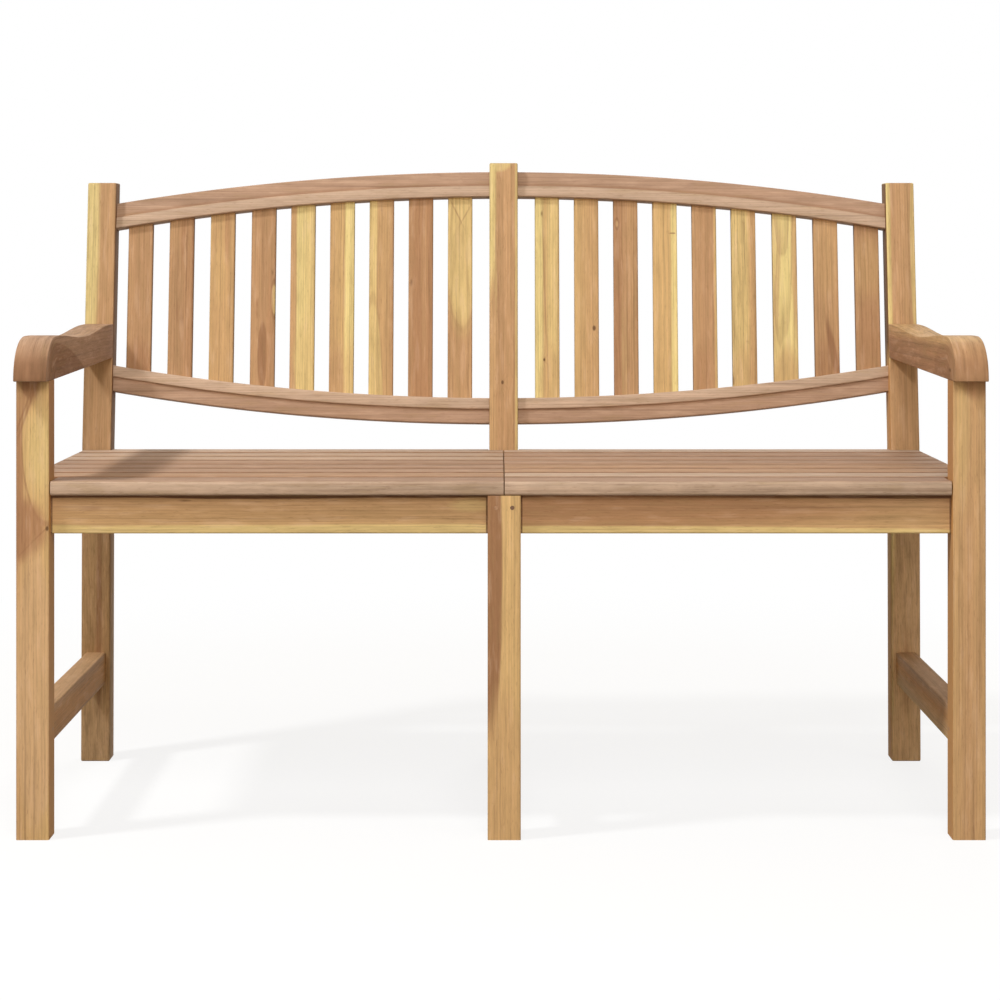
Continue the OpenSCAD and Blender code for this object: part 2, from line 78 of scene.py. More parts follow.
def middle(node):
    """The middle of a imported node's box."""
    low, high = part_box(node)
    return (low + high) / 2


# %% [markdown]
# The camera looks level at the bench from a little over three metres, at the
# height of a table top. A level camera keeps the legs upright in the picture. The
# bench stands low in the frame, so the view is shifted and not tilted.

# %% Camera
CAMERA_AWAY, CAMERA_HIGH, CAMERA_X = 3219.0, 727.7, -1.2
camera_data = bpy.data.cameras.new("camera")
camera_data.lens = 93.69
camera_data.sensor_width = 36.0
camera_data.shift_y = -0.2481
camera = bpy.data.objects.new("camera", camera_data)
camera.location = place(CAMERA_X, -CAMERA_AWAY, CAMERA_HIGH)
camera.rotation_euler = Euler((math.pi / 2, 0, 0))
bpy.context.scene.collection.objects.link(camera)
bpy.context.scene.camera = camera
bpy.context.scene.view_settings.view_transform = "Standard"
print("camera", [round(c, 3) for c in camera.location])

# %% [markdown]
# New pieces start as a bmesh. The boards' corners are eased by hand with sandpaper,
# so every sharp edge gets a small bevel. Smooth shading with a limit on the angle
# keeps the flats flat and lets the eased edges catch the light.

# %% Helpers for new pieces
SMOOTH_LIMIT = math.radians(40)
TO_FRAME = Matrix.Scale(MM, 4) @ Matrix.Translation((0, -CENTRE_Y, 0))


def finish_piece(shape, how, node):
    """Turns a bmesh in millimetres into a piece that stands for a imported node."""
    bmesh.ops.recalc_face_normals(shape, faces=shape.faces)
    bmesh.ops.transform(shape, matrix=TO_FRAME, verts=shape.verts)
    for face in shape.faces:
        face.smooth = True
    name = how + "_" + node
    mesh = bpy.data.meshes.new(name)
    shape.to_mesh(mesh)
    shape.free()
    mesh.set_sharp_from_angle(angle=SMOOTH_LIMIT)
    piece = bpy.data.objects.new(name, mesh)
    bpy.context.scene.collection.objects.link(piece)
    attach(piece, "root")
    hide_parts(node)
    return piece


def ease(shape, edges, radius, segments=3):
    """Rounds these edges."""
    bmesh.ops.bevel(shape, geom=list(edges), affect="EDGES", offset=radius, offset_type="OFFSET",
                    segments=segments, profile=0.5, material=-1, clamp_overlap=True)


def corners(shape, angle=30):
    """The edges where two faces meet at more than this many degrees."""
    return [e for e in shape.edges if len(e.link_faces) == 2 and e.calc_face_angle() > math.radians(angle)]


def outline(points, direction):
    """A face through the points, pulled along one direction into a solid."""
    shape = bmesh.new()
    face = shape.faces.new([shape.verts.new(p) for p in points])
    pulled = bmesh.ops.extrude_face_region(shape, geom=[face])
    moved = [v for v in pulled["geom"] if isinstance(v, bmesh.types.BMVert)]
    bmesh.ops.translate(shape, verts=moved, vec=direction)
    return shape


# %% [markdown]
# Each rear post is one sawn piece: a leg below, bent a little at the seat, and a
# leaning post above. Its side outline has six points, and the outline is pulled
# across by the post's width.

# %% Rear posts
POST_EDGE = 2.0


def post_front(z):
    """How deep the rear posts' front faces lie at a height."""
    if z < BEND_Z:
        return FOOT_Y + (BEND_Y - FOOT_Y) * z / BEND_Z
    return BEND_Y + (z - BEND_Z) * math.tan(LEAN)


FRAME_X = {"left": -HALF_W + LEG_W / 2, "middle": MIDDLE_X, "right": HALF_W - LEG_W / 2}
posts = {}
for side, x in FRAME_X.items():
    node = "rear_post_" + side
    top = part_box(node)[1].z / MM
    side_view = [(FOOT_Y, 0), (BEND_Y, BEND_Z), (post_front(top), top),
                 (post_front(top) + POST_D, top), (BEND_Y + POST_D, BEND_Z), (FOOT_Y + POST_D, 0)]
    shape = outline([(x - LEG_W / 2, y, z) for y, z in side_view], (LEG_W, 0, 0))
    ease(shape, corners(shape), POST_EDGE)
    posts[side] = finish_piece(shape, "sawn", node)
print("rear posts:", [p.name for p in posts.values()])

# %% [markdown]
# An arm has a rounded nose that hangs over the front leg, a scooped top and an
# underside that rises to the post. The nose follows a curve a little squarer than
# an ellipse.

# %% Arms
NOSE_OUT, NOSE_L, NOSE_POWER = 20.0, 77.0, 2.2
ARM_TOP, ARM_T, ARM_LIFT, UNDER_RISE = 622.0, 54.0, 1.8, 7.0
SCOOP, SCOOP_SHARE = 8.5, 0.93
ARM_UNDER = ARM_TOP - ARM_T
NOSE_END = NOSE_L - NOSE_OUT
NOSE_STEPS, SCOOP_STEPS = 16, 24
ARM_CORNER, ARM_EDGE = 50, 1.3
arms = {}
for side in ("left", "right"):
    node = "armrest_" + side
    x = FRAME_X[side]
    end_y = post_front(ARM_TOP + ARM_LIFT)
    side_view = []
    for step in range(NOSE_STEPS + 1):
        a = math.pi / 2 * step / NOSE_STEPS
        side_view.append((NOSE_END - NOSE_L * max(math.cos(a), 0) ** (2 / NOSE_POWER),
                          ARM_UNDER + ARM_T * math.sin(a) ** (2 / NOSE_POWER)))
    for step in range(1, SCOOP_STEPS + 1):
        t = step / SCOOP_STEPS
        dip = SCOOP * math.sin(math.pi * min(1, t / SCOOP_SHARE)) ** 2
        side_view.append((NOSE_END + t * (end_y - NOSE_END), ARM_TOP + ARM_LIFT * t - dip))
    side_view += [(post_front(ARM_UNDER + UNDER_RISE), ARM_UNDER + UNDER_RISE), (LEG_D, ARM_UNDER)]
    shape = outline([(x - LEG_W / 2, y, z) for y, z in side_view], (LEG_W, 0, 0))
    ease(shape, corners(shape, ARM_CORNER), ARM_EDGE)
    arms[side] = finish_piece(shape, "shaped", node)
print("arms:", [a.name for a in arms.values()])

# %% [markdown]
# The arched rails of the back, two above the slats and two below, are sawn from
# straight boards. Seen from the front, a proud bead runs next to the slats and a
# recessed band runs outside it. The section is drawn once, its corners are eased,
# and it is spun about the far centre of the arch. Two planes then cut the length
# between the posts.

# %% Arched rails
ARCH_H, ARCH_T, BEAD_H, BEAD_OUT, BEAD_SET = 36.5, 26.0, 16.0, 3.0, 10.0
LOWER_UP, BACK_OPENING, ARCH_RISE = 33.0, 294.5, 47.0
ARCH_EDGE, ARCH_STEPS = 1.6, 96
PAST_END = 1.05  # the spin goes this much past the posts, and the planes cut it back
ARCH_R = (INNER_X ** 2 + ARCH_RISE ** 2) / (2 * ARCH_RISE)
LOWER_MID = LOWER_UP + ARCH_H / 2
LEDGE = BEAD_H - ARCH_H / 2  # the step between bead and band, counted from the rail's middle
TOP_MID = LOWER_UP + BACK_OPENING + ARCH_H * 1.5
HALF_SPANS = {"left": (-INNER_X, MIDDLE_X - LEG_W / 2), "right": (MIDDLE_X + LEG_W / 2, INNER_X)}
BACK_PLANE = Matrix.Translation((0, BEND_Y, BEND_Z)) @ Matrix.Rotation(-LEAN, 4, "X")


def arch_node(side, top):
    return ("top_rail_" if top else "lower_rail_") + side


def arched_rail(side, top):
    """One arched rail, drawn upright and then leaned into the plane of the back."""
    flip = 1 if top else -1
    mid = TOP_MID if top else LOWER_MID
    front, step, back = BEAD_SET, BEAD_SET + BEAD_OUT, BEAD_SET + ARCH_T
    inner, outer = -ARCH_H / 2, ARCH_H / 2
    section = [(front, inner), (back, inner), (back, outer), (step, outer), (step, LEDGE), (front, LEDGE)]
    shape = bmesh.new()
    face = shape.faces.new([shape.verts.new((0, n, mid + flip * u)) for n, u in section])
    in_step = Vector((0, step, mid + flip * LEDGE))
    sharp = [v for v in face.verts if (v.co - in_step).length > 0.1]
    bmesh.ops.bevel(shape, geom=sharp, affect="VERTICES", offset=ARCH_EDGE, offset_type="OFFSET",
                    segments=3, profile=0.5, material=-1)
    reach = math.asin(INNER_X / ARCH_R) * PAST_END
    centre = (0, 0, mid - flip * ARCH_R)
    bmesh.ops.rotate(shape, verts=shape.verts, cent=centre, matrix=Matrix.Rotation(-reach, 3, "Y"))
    bmesh.ops.spin(shape, geom=shape.faces[:], cent=centre, axis=(0, 1, 0), angle=2 * reach,
                   steps=ARCH_STEPS, use_merge=False, use_duplicate=False)
    start, end = HALF_SPANS[side]
    for cut, away in ((start, -1), (end, 1)):
        bmesh.ops.bisect_plane(shape, geom=shape.verts[:] + shape.edges[:] + shape.faces[:],
                               plane_co=(cut, 0, 0), plane_no=(away, 0, 0), clear_outer=True)
        rim = [e for e in shape.edges if e.is_boundary and all(abs(v.co.x - cut) < 0.01 for v in e.verts)]
        bmesh.ops.contextual_create(shape, geom=rim)
    bmesh.ops.transform(shape, matrix=BACK_PLANE, verts=shape.verts)
    return finish_piece(shape, "arched", arch_node(side, top))


arches = {(side, top): arched_rail(side, top) for side in HALF_SPANS for top in (True, False)}
print("arched rails:", [a.name for a in arches.values()])

# %% [markdown]
# A seat slat is a plain board with well rounded long edges, so that nothing
# presses or splinters. The front slats lie between the legs, and the rearmost
# ones have a notch round each post. A board starts as a rectangle or notched
# outline, and the long edges are eased more than the ends.

# %% Seat slats
SLAT_T, SLAT_GAP, SLATS = 18.0, 8.5, 8
REAR_TONGUE = 15.0  # how far the rearmost slats reach in between the posts
SEAT_D = post_front(SEAT_TOP) + REAR_TONGUE
SLAT_PITCH = (SEAT_D + SLAT_GAP) / SLATS
SLAT_W = SLAT_PITCH - SLAT_GAP
HALF_GAP, NOTCH_GAP, SLAT_INSET = 0.5, 1.0, 2.0
LONG_EDGE, LONG_SEGMENTS = 4.0, 5
END_EDGE, END_SEGMENTS, END_CORNER = 1.0, 2, 60
SHORTEST_LONG_EDGE = 100


def seat_node(side, i):
    return "seat_slat_%s_%d" % (side, i)


def seat_slat(side, i):
    """One seat slat, counted from the front."""
    s = -1 if side == "left" else 1
    mid = MIDDLE_X + s * HALF_GAP
    end = s * (INNER_X - NOTCH_GAP if i == 1 else HALF_W - SLAT_INSET)
    front = (i - 1) * SLAT_PITCH
    back = front + SLAT_W
    plan = [(mid, front), (end, front), (end, back), (mid, back)]
    if i == SLATS:
        notch = post_front(SEAT_TOP) - NOTCH_GAP
        post_in = s * (INNER_X - NOTCH_GAP)
        post_mid = MIDDLE_X + s * (LEG_W / 2 + NOTCH_GAP)
        plan = [(mid, front), (end, front), (end, notch), (post_in, notch), (post_in, back),
                (post_mid, back), (post_mid, notch), (mid, notch)]
    shape = outline([(x, y, SEAT_TOP - SLAT_T) for x, y in plan], (0, 0, SLAT_T))
    long_edges = [e for e in corners(shape)
                  if abs(e.verts[0].co.x - e.verts[1].co.x) > SHORTEST_LONG_EDGE
                  and e.verts[0].co.y in (front, back)]
    ease(shape, long_edges, LONG_EDGE, LONG_SEGMENTS)
    ease(shape, corners(shape, END_CORNER), END_EDGE, END_SEGMENTS)
    return finish_piece(shape, "rounded", seat_node(side, i))


seat = {(side, i): seat_slat(side, i) for side in HALF_SPANS for i in range(1, SLATS + 1)}
print("seat slats:", len(seat))

# %% [markdown]
# Shader maths reads best as plain sums. A small class wraps a socket, and its
# operators add the Math nodes. The operators work with a plain number on either
# side, so that 1 - mask is a sum as well.


# %% Sockets that can be used in sums
class Signal:
    """One output socket of a node, for use in sums."""

    def __init__(self, finish, socket):
        self.finish, self.socket = finish, socket

    def _sum(self, operation, a, b):
        return self.finish.add("ShaderNodeMath", {"operation": operation}, {0: a, 1: b})

    def __add__(self, other):
        return self._sum("ADD", self, other)

    def __sub__(self, other):
        return self._sum("SUBTRACT", self, other)

    def __rsub__(self, other):
        return self._sum("SUBTRACT", other, self)

    def __mul__(self, other):
        return self._sum("MULTIPLY", self, other)

    def __truediv__(self, other):
        return self._sum("DIVIDE", self, other)

    def __pow__(self, other):
        return self._sum("POWER", self, other)

    __radd__, __rmul__ = __add__, __mul__

    def at_least(self, other):
        return self._sum("MAXIMUM", self, other)

    def at_most(self, other):
        return self._sum("MINIMUM", self, other)


def distance(*parts):
    """The length of a line, from its parts along the axes."""
    total = parts[0] * parts[0]
    for part in parts[1:]:
        total = total + part * part
    return total ** 0.5


# %% [markdown]
# Every other node comes from one method that takes the node's type, its settings
# and the values or links of its sockets. The same class builds the light of the
# surround, because a world has a node tree too.


# %% A finish and its nodes
class Finish:
    """A material, or the surround's light, and the nodes that are added to it."""

    def __init__(self, name, surround=False):
        self.home = (bpy.data.worlds if surround else bpy.data.materials).new(name)
        self.home.use_nodes = True
        self.tree = self.home.node_tree
        self.tree.nodes.clear()
        self.output = self.tree.nodes.new("ShaderNodeOutputWorld" if surround else "ShaderNodeOutputMaterial")

    def add(self, kind, settings=None, sockets=None, out=0):
        """Adds a node. Gives its first output, or the one that out names or numbers."""
        node = self.tree.nodes.new(kind)
        for name, value in (settings or {}).items():
            if name == "stops":
                self._stops(node.color_ramp, value)
            else:
                setattr(node, name, value)
        for name, value in (sockets or {}).items():
            if isinstance(value, Signal):
                self.tree.links.new(value.socket, node.inputs[name])
            else:
                node.inputs[name].default_value = value
        return Signal(self, node.outputs[out])

    def _stops(self, ramp, stops):
        while len(ramp.elements) < len(stops):
            ramp.elements.new(0.5)
        for element, (at, colour) in zip(ramp.elements, stops):
            element.position = at
            element.color = (*colour, 1.0)

    def any_ray(self, first, *others):
        """1 on a ray of one of these kinds."""
        seen = self.add("ShaderNodeLightPath", out=first)
        for kind in others:
            seen = seen.at_least(self.add("ShaderNodeLightPath", out=kind))
        return seen

    def show(self, shader):
        """Ends the finish with its shader, and gives the material or the world."""
        self.tree.links.new(shader.socket, self.output.inputs["Surface"])
        return self.home


def dress(piece, material):
    """Gives a packed or new piece its finish."""
    piece.data.materials.clear()
    piece.data.materials.append(material)


# %% [markdown]
# Paint colours are easiest to compare as they look on a screen, but the shader
# wants linear light, so each tone is turned once, here. Teak runs from a straw
# yellow sapwood over honey and tan to a pinkish brown, all within one bench.


# %% Tones of teak
def screen(red, green, blue):
    """A screen colour from 0 to 255, as linear light."""
    return tuple(((c / 255 + 0.055) / 1.055) ** 2.4 for c in (red, green, blue))


TONES = {
    "sap": screen(225, 206, 143),
    "straw": screen(216, 190, 132),
    "honey": screen(207, 173, 121),
    "fawn": screen(205, 169, 128),
    "gold": screen(199, 162, 116),
    "tan": screen(193, 154, 113),
    "brown": screen(186, 147, 109),
    "chestnut": screen(178, 136, 100),
    "bark": screen(168, 125, 92),
    # shade_amber is a warm tone for faces that lie in shade: painted warm shade.
    "shade_amber": screen(197, 143, 84),
    "rose": screen(197, 171, 149),
    "clay": screen(180, 148, 125),
    "hazel": screen(184, 148, 119),
    "umber": screen(150, 110, 80),
    "dark": screen(96, 66, 46),
}
print("tones:", ", ".join(TONES))


def tone(word):
    """A tone as a socket wants it, with its alpha."""
    return (*TONES[word], 1.0)


# %% [markdown]
# Wood is a solid material, so its pattern is worked out in three dimensions, in
# the board's own directions: along the grain, across the board's face and into
# it. A turn says how these three lie for a kind of board: they are its columns. A
# Mapping node set to Texture undoes the turn and counts in millimetres from the
# board's middle.

# %% Directions of a board
ALONG, ACROSS = 0, 1
SIN, COS = math.sin(LEAN), math.cos(LEAN)
TURNS = {
    "upright": Matrix(((0, 1, 0), (0, 0, 1), (1, 0, 0))),
    "leaning": Matrix(((0, 1, 0), (SIN, 0, COS), (COS, 0, -SIN))),
    "arched": Matrix(((1, 0, 0), (0, SIN, -COS), (0, COS, SIN))),
    "level": Matrix(((1, 0, 0), (0, 0, -1), (0, 1, 0))),
    "lying": Matrix(((1, 0, 0), (0, 1, 0), (0, 0, 1))),
    "sideways": Matrix(((0, 0, 1), (1, 0, 0), (0, 1, 0))),
}
for name, turn in TURNS.items():
    assert abs(turn.determinant() - 1) < 1e-6, name
print("kinds of board:", ", ".join(TURNS))


# %% [markdown]
# Straight patterns look printed, so one slow noise bends each board's grain and
# the edges of its tones, and a quicker one adds a small wave. A board's seed moves
# it to its own place in the noise.

# %% A finish that knows its board
FLATTER = ARM_T / NOSE_L  # turns the nose's ellipse into a circle
SEED_STEP = 7.31


class Board(Finish):
    """A finish that is laid out along, across and into one board, in millimetres."""

    def __init__(self, name, centre, turn, seed):
        super().__init__(name)
        self.turn, self.seed = TURNS[turn], seed
        spot = self.add("ShaderNodeTexCoord", out="Object")
        laid = self.add("ShaderNodeMapping", {"vector_type": "TEXTURE"}, {
            "Vector": spot, "Location": centre, "Rotation": self.turn.to_euler(), "Scale": (MM, MM, MM)})
        split = self.add("ShaderNodeSeparateXYZ", sockets={"Vector": laid})
        self.along, self.across, self.into = (Signal(self, s) for s in split.socket.node.outputs)
        self.wave = None
        self.bend = self.noise(170, 34, 2.0, 3.0) - 0.5
        self.wave = self.bend * 5 + (self.noise(48, 16, 2.0, 31.0) - 0.5) * 3

    def noise(self, lengthwise, crosswise, detail, shift):
        """Noise around 0.5 whose spots are this long and this wide. shift keeps two noises apart."""
        across = self.across + self.wave if self.wave else self.across
        spot = self.add("ShaderNodeCombineXYZ", sockets={
            0: self.along / lengthwise + (self.seed * SEED_STEP + shift), 1: across / crosswise,
            2: self.into / crosswise})
        return self.add("ShaderNodeTexNoise", {"noise_dimensions": "3D"},
                        {"Vector": spot, "Scale": 1.0, "Detail": detail, "Roughness": 0.55})

    def slide(self, value, start, end, low=0.0, high=1.0):
        """Goes smoothly from low to high while the value goes from start to end."""
        return self.add("ShaderNodeMapRange", {"interpolation_type": "SMOOTHSTEP"},
                        {"Value": value, 1: start, 2: end, 3: low, 4: high})

    def faces(self, which, start, end, side=0):
        """1 on faces that look ALONG or ACROSS the board. side 1 or -1 keeps those that look one way."""
        normal = self.add("ShaderNodeNewGeometry", out="Normal")
        straight = self.add("ShaderNodeVectorMath", {"operation": "DOT_PRODUCT"},
                            {0: normal, 1: tuple(self.turn.col[which])}, out="Value")
        if side:
            straight = (straight * side).at_least(0.0)
        return self.slide(straight * straight, start, end)

    def fold(self, at, aside):
        """Lets the grain turn down round a point, as it shows on an arm's nose."""
        before = (self.along - at).at_most(0.0)
        above = self.across - aside
        angle = self.add("ShaderNodeMath", {"operation": "ARCTAN2"}, {0: before * -FLATTER, 1: above})
        self.along = self.along - before - angle * ARM_T
        self.across = (before * before * FLATTER ** 2 + above * above) ** 0.5 + aside

    def blend(self, share, first, second):
        """Mixes two colours."""
        return self.add("ShaderNodeMix", {"data_type": "RGBA"}, {0: share, 6: first, 7: second}, out=2)

    def dim(self, colour, factor):
        """Makes a colour lighter or darker."""
        return self.add("ShaderNodeVectorMath", {"operation": "SCALE"}, {0: colour, "Scale": factor})


# %% [markdown]
# A board's broad look is a few bands of tone across its face, with edges that
# wander along it. On top of them lie patches: long ovals of another tone, for a
# tongue of sapwood or a dark streak. A patch can have a thin dark rim, as the
# border between sapwood and heartwood often has.

# %% Bands and patches
REACH = 64.0  # the colour ramp spans this many millimetres of a board's face
PATCH_WANDER = 4
RIM_OUT, RIM_FULL = 1.5, 0.3


def banded(wood, bands, wander):
    """bands: (place across, tone) pairs, from one edge of the board to the other."""
    stops = [(min(max(b / REACH + 0.5, 0.0), 1.0), TONES[t]) for b, t in bands]
    x = wood.across + wood.bend * (wander * 2)
    return wood.add("ShaderNodeValToRGB", {"stops": stops}, {0: x / REACH + 0.5})


def patch(along, across, length, width, word, strength=1.0, slope=0.0, soft=3.0, rim=0.0):
    """An oval patch of one tone: its middle, its half length and half width, and how its edge looks."""
    return along, across, length, width, word, strength, slope, soft, rim


def lay_patch(wood, colour, middle_along, middle_across, length, width, word, strength, slope, soft, rim):
    """Lays a patch over the colour. slope turns it, and soft is the width of its edge."""
    lengthwise = wood.along - middle_along
    side = (wood.across - middle_across - lengthwise * slope + wood.bend * PATCH_WANDER) / width
    end = lengthwise / length
    beyond = (distance(side, end) - 1) * width
    colour = wood.blend(wood.slide(beyond, soft / 2, -soft / 2) * strength, colour, tone(word))
    if rim:
        colour = wood.blend(wood.slide(distance(beyond), RIM_OUT, RIM_FULL) * rim, colour, tone("umber"))
    return colour


# %% [markdown]
# Growth rings are shells round a pith that lies outside the board. Where the pith
# runs beside the board, the rings are straight lines. Where it lies behind the
# face and tilts, they meet the face in tall arches. The rings bow out round a knot.

# %% Rings and knots
KNOT_STRETCH = 0.4  # less than 1, because the grain draws a knot out along the board


def near_knots(wood, knots):
    """knots: (place along, place across, radius). Gives how far rings bow out, and the knots' cores."""
    swirl, core = 0.0, 0.0
    for at, aside, radius in knots:
        a, x = wood.along - at, wood.across - aside
        away = (a * a * KNOT_STRETCH + x * x) ** 0.5
        swirl = swirl + wood.slide(away, radius * 6.0, radius * 0.6, 0.0, radius * 3.0)
        core = core + wood.slide(away + wood.bend * radius, radius * 1.2, radius * 0.5)
    return swirl, core


def late_wood(wood, pith, tilt, pitch, swirl):
    """The thin dark end of each year's ring."""
    x = wood.across - pith[0] - wood.along * tilt[0]
    t = wood.into + wood.bend * 1.6 - pith[1] - wood.along * tilt[1]
    shell = distance(x, t) + swirl + (wood.noise(700, 20, 1.0, 5.0) - 0.5) * (pitch * 1.3)
    ring = wood.add("ShaderNodeMath", {"operation": "FRACT"}, {0: shell / pitch})
    return wood.slide(ring, 0.35, 0.9) * wood.slide(ring, 1.0, 0.93)


# %% [markdown]
# The grain itself has several sizes: broad stripes, soft mottling, thin dark lines
# and short open pores. They change the tone, and the finer ones also give the bump
# and the sheen, so light rakes over the fibres. On a sawn end the fibres point at
# the eye, so the long patterns fade there and the wood looks darker, because it
# drinks more oil.

# %% Grain
# For each pattern: its spots' length and width, its detail, and the shift that keeps it apart.
STRIPES = (520, 11.0, 2.0, 7.0)
MOTTLE = (50, 8.0, 3.0, 29.0)
STREAKS = (330, 3.4, 3.0, 11.0)
LINES = (150, 1.9, 3.0, 13.0)
FIBRE = (26, 0.9, 2.0, 17.0)
PORES = (11, 1.3, 2.0, 23.0)
END_FADE = 0.75


def grained(wood, colour, late, rings, grain, shade, ends):
    """Adds the grain to a tone. Gives the colour, and the heights for the bump."""
    end = wood.faces(ALONG, 0.15, 0.85)
    flat = 1 - end * END_FADE
    stripes = wood.noise(*STRIPES) - 0.5
    mottle = wood.noise(*MOTTLE) - 0.5
    streaks = wood.noise(*STREAKS)
    lines = wood.slide(wood.noise(*LINES), 0.54, 0.74)
    fibre = wood.noise(*FIBRE) - 0.5
    pores = wood.slide(wood.noise(*PORES), 0.57, 0.72) * flat

    colour = wood.blend(wood.slide(mottle, 0.02, 0.2) * (0.2 * grain), colour, tone("rose"))
    colour = wood.blend(wood.slide(mottle, -0.02, -0.2) * (0.16 * grain), colour, tone("honey"))
    dark = wood.slide(streaks, 0.5, 0.75) * flat * 0.3 + lines * flat * 0.22 + pores * 0.3
    colour = wood.blend(late * rings + dark * (0.55 * grain), colour, tone("umber"))
    light = stripes * 0.4 + mottle * 0.5 + (0.5 - streaks) * 0.3 - dark * 0.25 - fibre * flat * 0.22
    colour = wood.blend(end * ends, colour, tone("umber"))
    colour = wood.dim(colour, light * grain + shade)
    return colour, fibre * flat, pores


# %% [markdown]
# Every board gets the same recipe, with its own numbers: bands, patches, rings, grain, knots, and at last a
# painted shade on faces that look aside. Oiled teak hardly shines, so it is rough and has a weak reflection.

# %% The recipe for teak
# These set where the painted shade on side faces starts and how it fades in.
SIDE_FROM, SIDE_FULL = 0.6, 0.95  # how squarely a face looks aside where its tone starts and is full
SIDE_BEFORE, SIDE_AFTER = 50, 10  # the tone fades in over these lengths before and after its start
WHOLE = -999  # a start below every board's lower end


def teak(name, centre, turn, bands, seed, shade=1.0, grain=1.0, pith=(-300, 60), tilt=(0.0, 0.0), pitch=3.4,
         rings=0.14, wander=1.6, patches=(), knots=(), arch=None, nose=None, ends=0.4, painted_side_shade=(), inner=0):
    """One board's finish. shade makes it lighter or darker, and ends darkens its sawn ends.
    painted_side_shade lists the start, tone and strength of the painted shade on its side faces, and inner 1
    or -1 names one of the two."""
    wood = Board(name, centre, turn, seed)
    colour = banded(wood, bands, wander)
    if arch:
        colour = moulded(wood, colour, *arch)
    for p in patches:
        colour = lay_patch(wood, colour, *p)
    if nose:
        wood.fold(*nose)
    swirl, core = near_knots(wood, knots)
    late = late_wood(wood, pith, tilt, pitch, swirl)
    colour, fibre, pores = grained(wood, colour, late, rings, grain, shade, ends)
    if knots:
        colour = wood.blend(core * 0.85, colour, tone("dark"))
    # Faces that look aside get a painted shade, which fades in at its start along the board.
    for start, word, strength in painted_side_shade:
        side_face = wood.faces(ACROSS, SIDE_FROM, SIDE_FULL, inner)
        share = side_face * wood.slide(wood.along, start - SIDE_BEFORE, start + SIDE_AFTER)
        colour = wood.blend(share * strength, colour, tone(word))
    height = 0.5 * fibre - 0.6 * pores - 0.25 * late
    bump = wood.add("ShaderNodeBump", {}, {"Strength": 0.22, "Distance": 0.0004, "Height": height})
    rough = 0.62 + fibre * 0.18 + pores * 0.12
    return wood.show(wood.add("ShaderNodeBsdfPrincipled", sockets={
        "Base Color": colour, "Roughness": rough, "Normal": bump, "Specular IOR Level": 0.1}))


# %% [markdown]
# Now the finish. The frame's boards come first. Their numbers follow the real
# boards: which side of a leg is sapwood, where a dark line runs, where a knot sits.
# Every place and size counts millimetres from the board's middle.


# %% Finish of the legs and aprons
def painted_end_shadows(reach):
    """A painted shadow line at each end of an apron, where it meets a leg."""
    return [patch(end, 0, 2, 90, "dark", 0.8, soft=2) for end in (-reach, reach)]


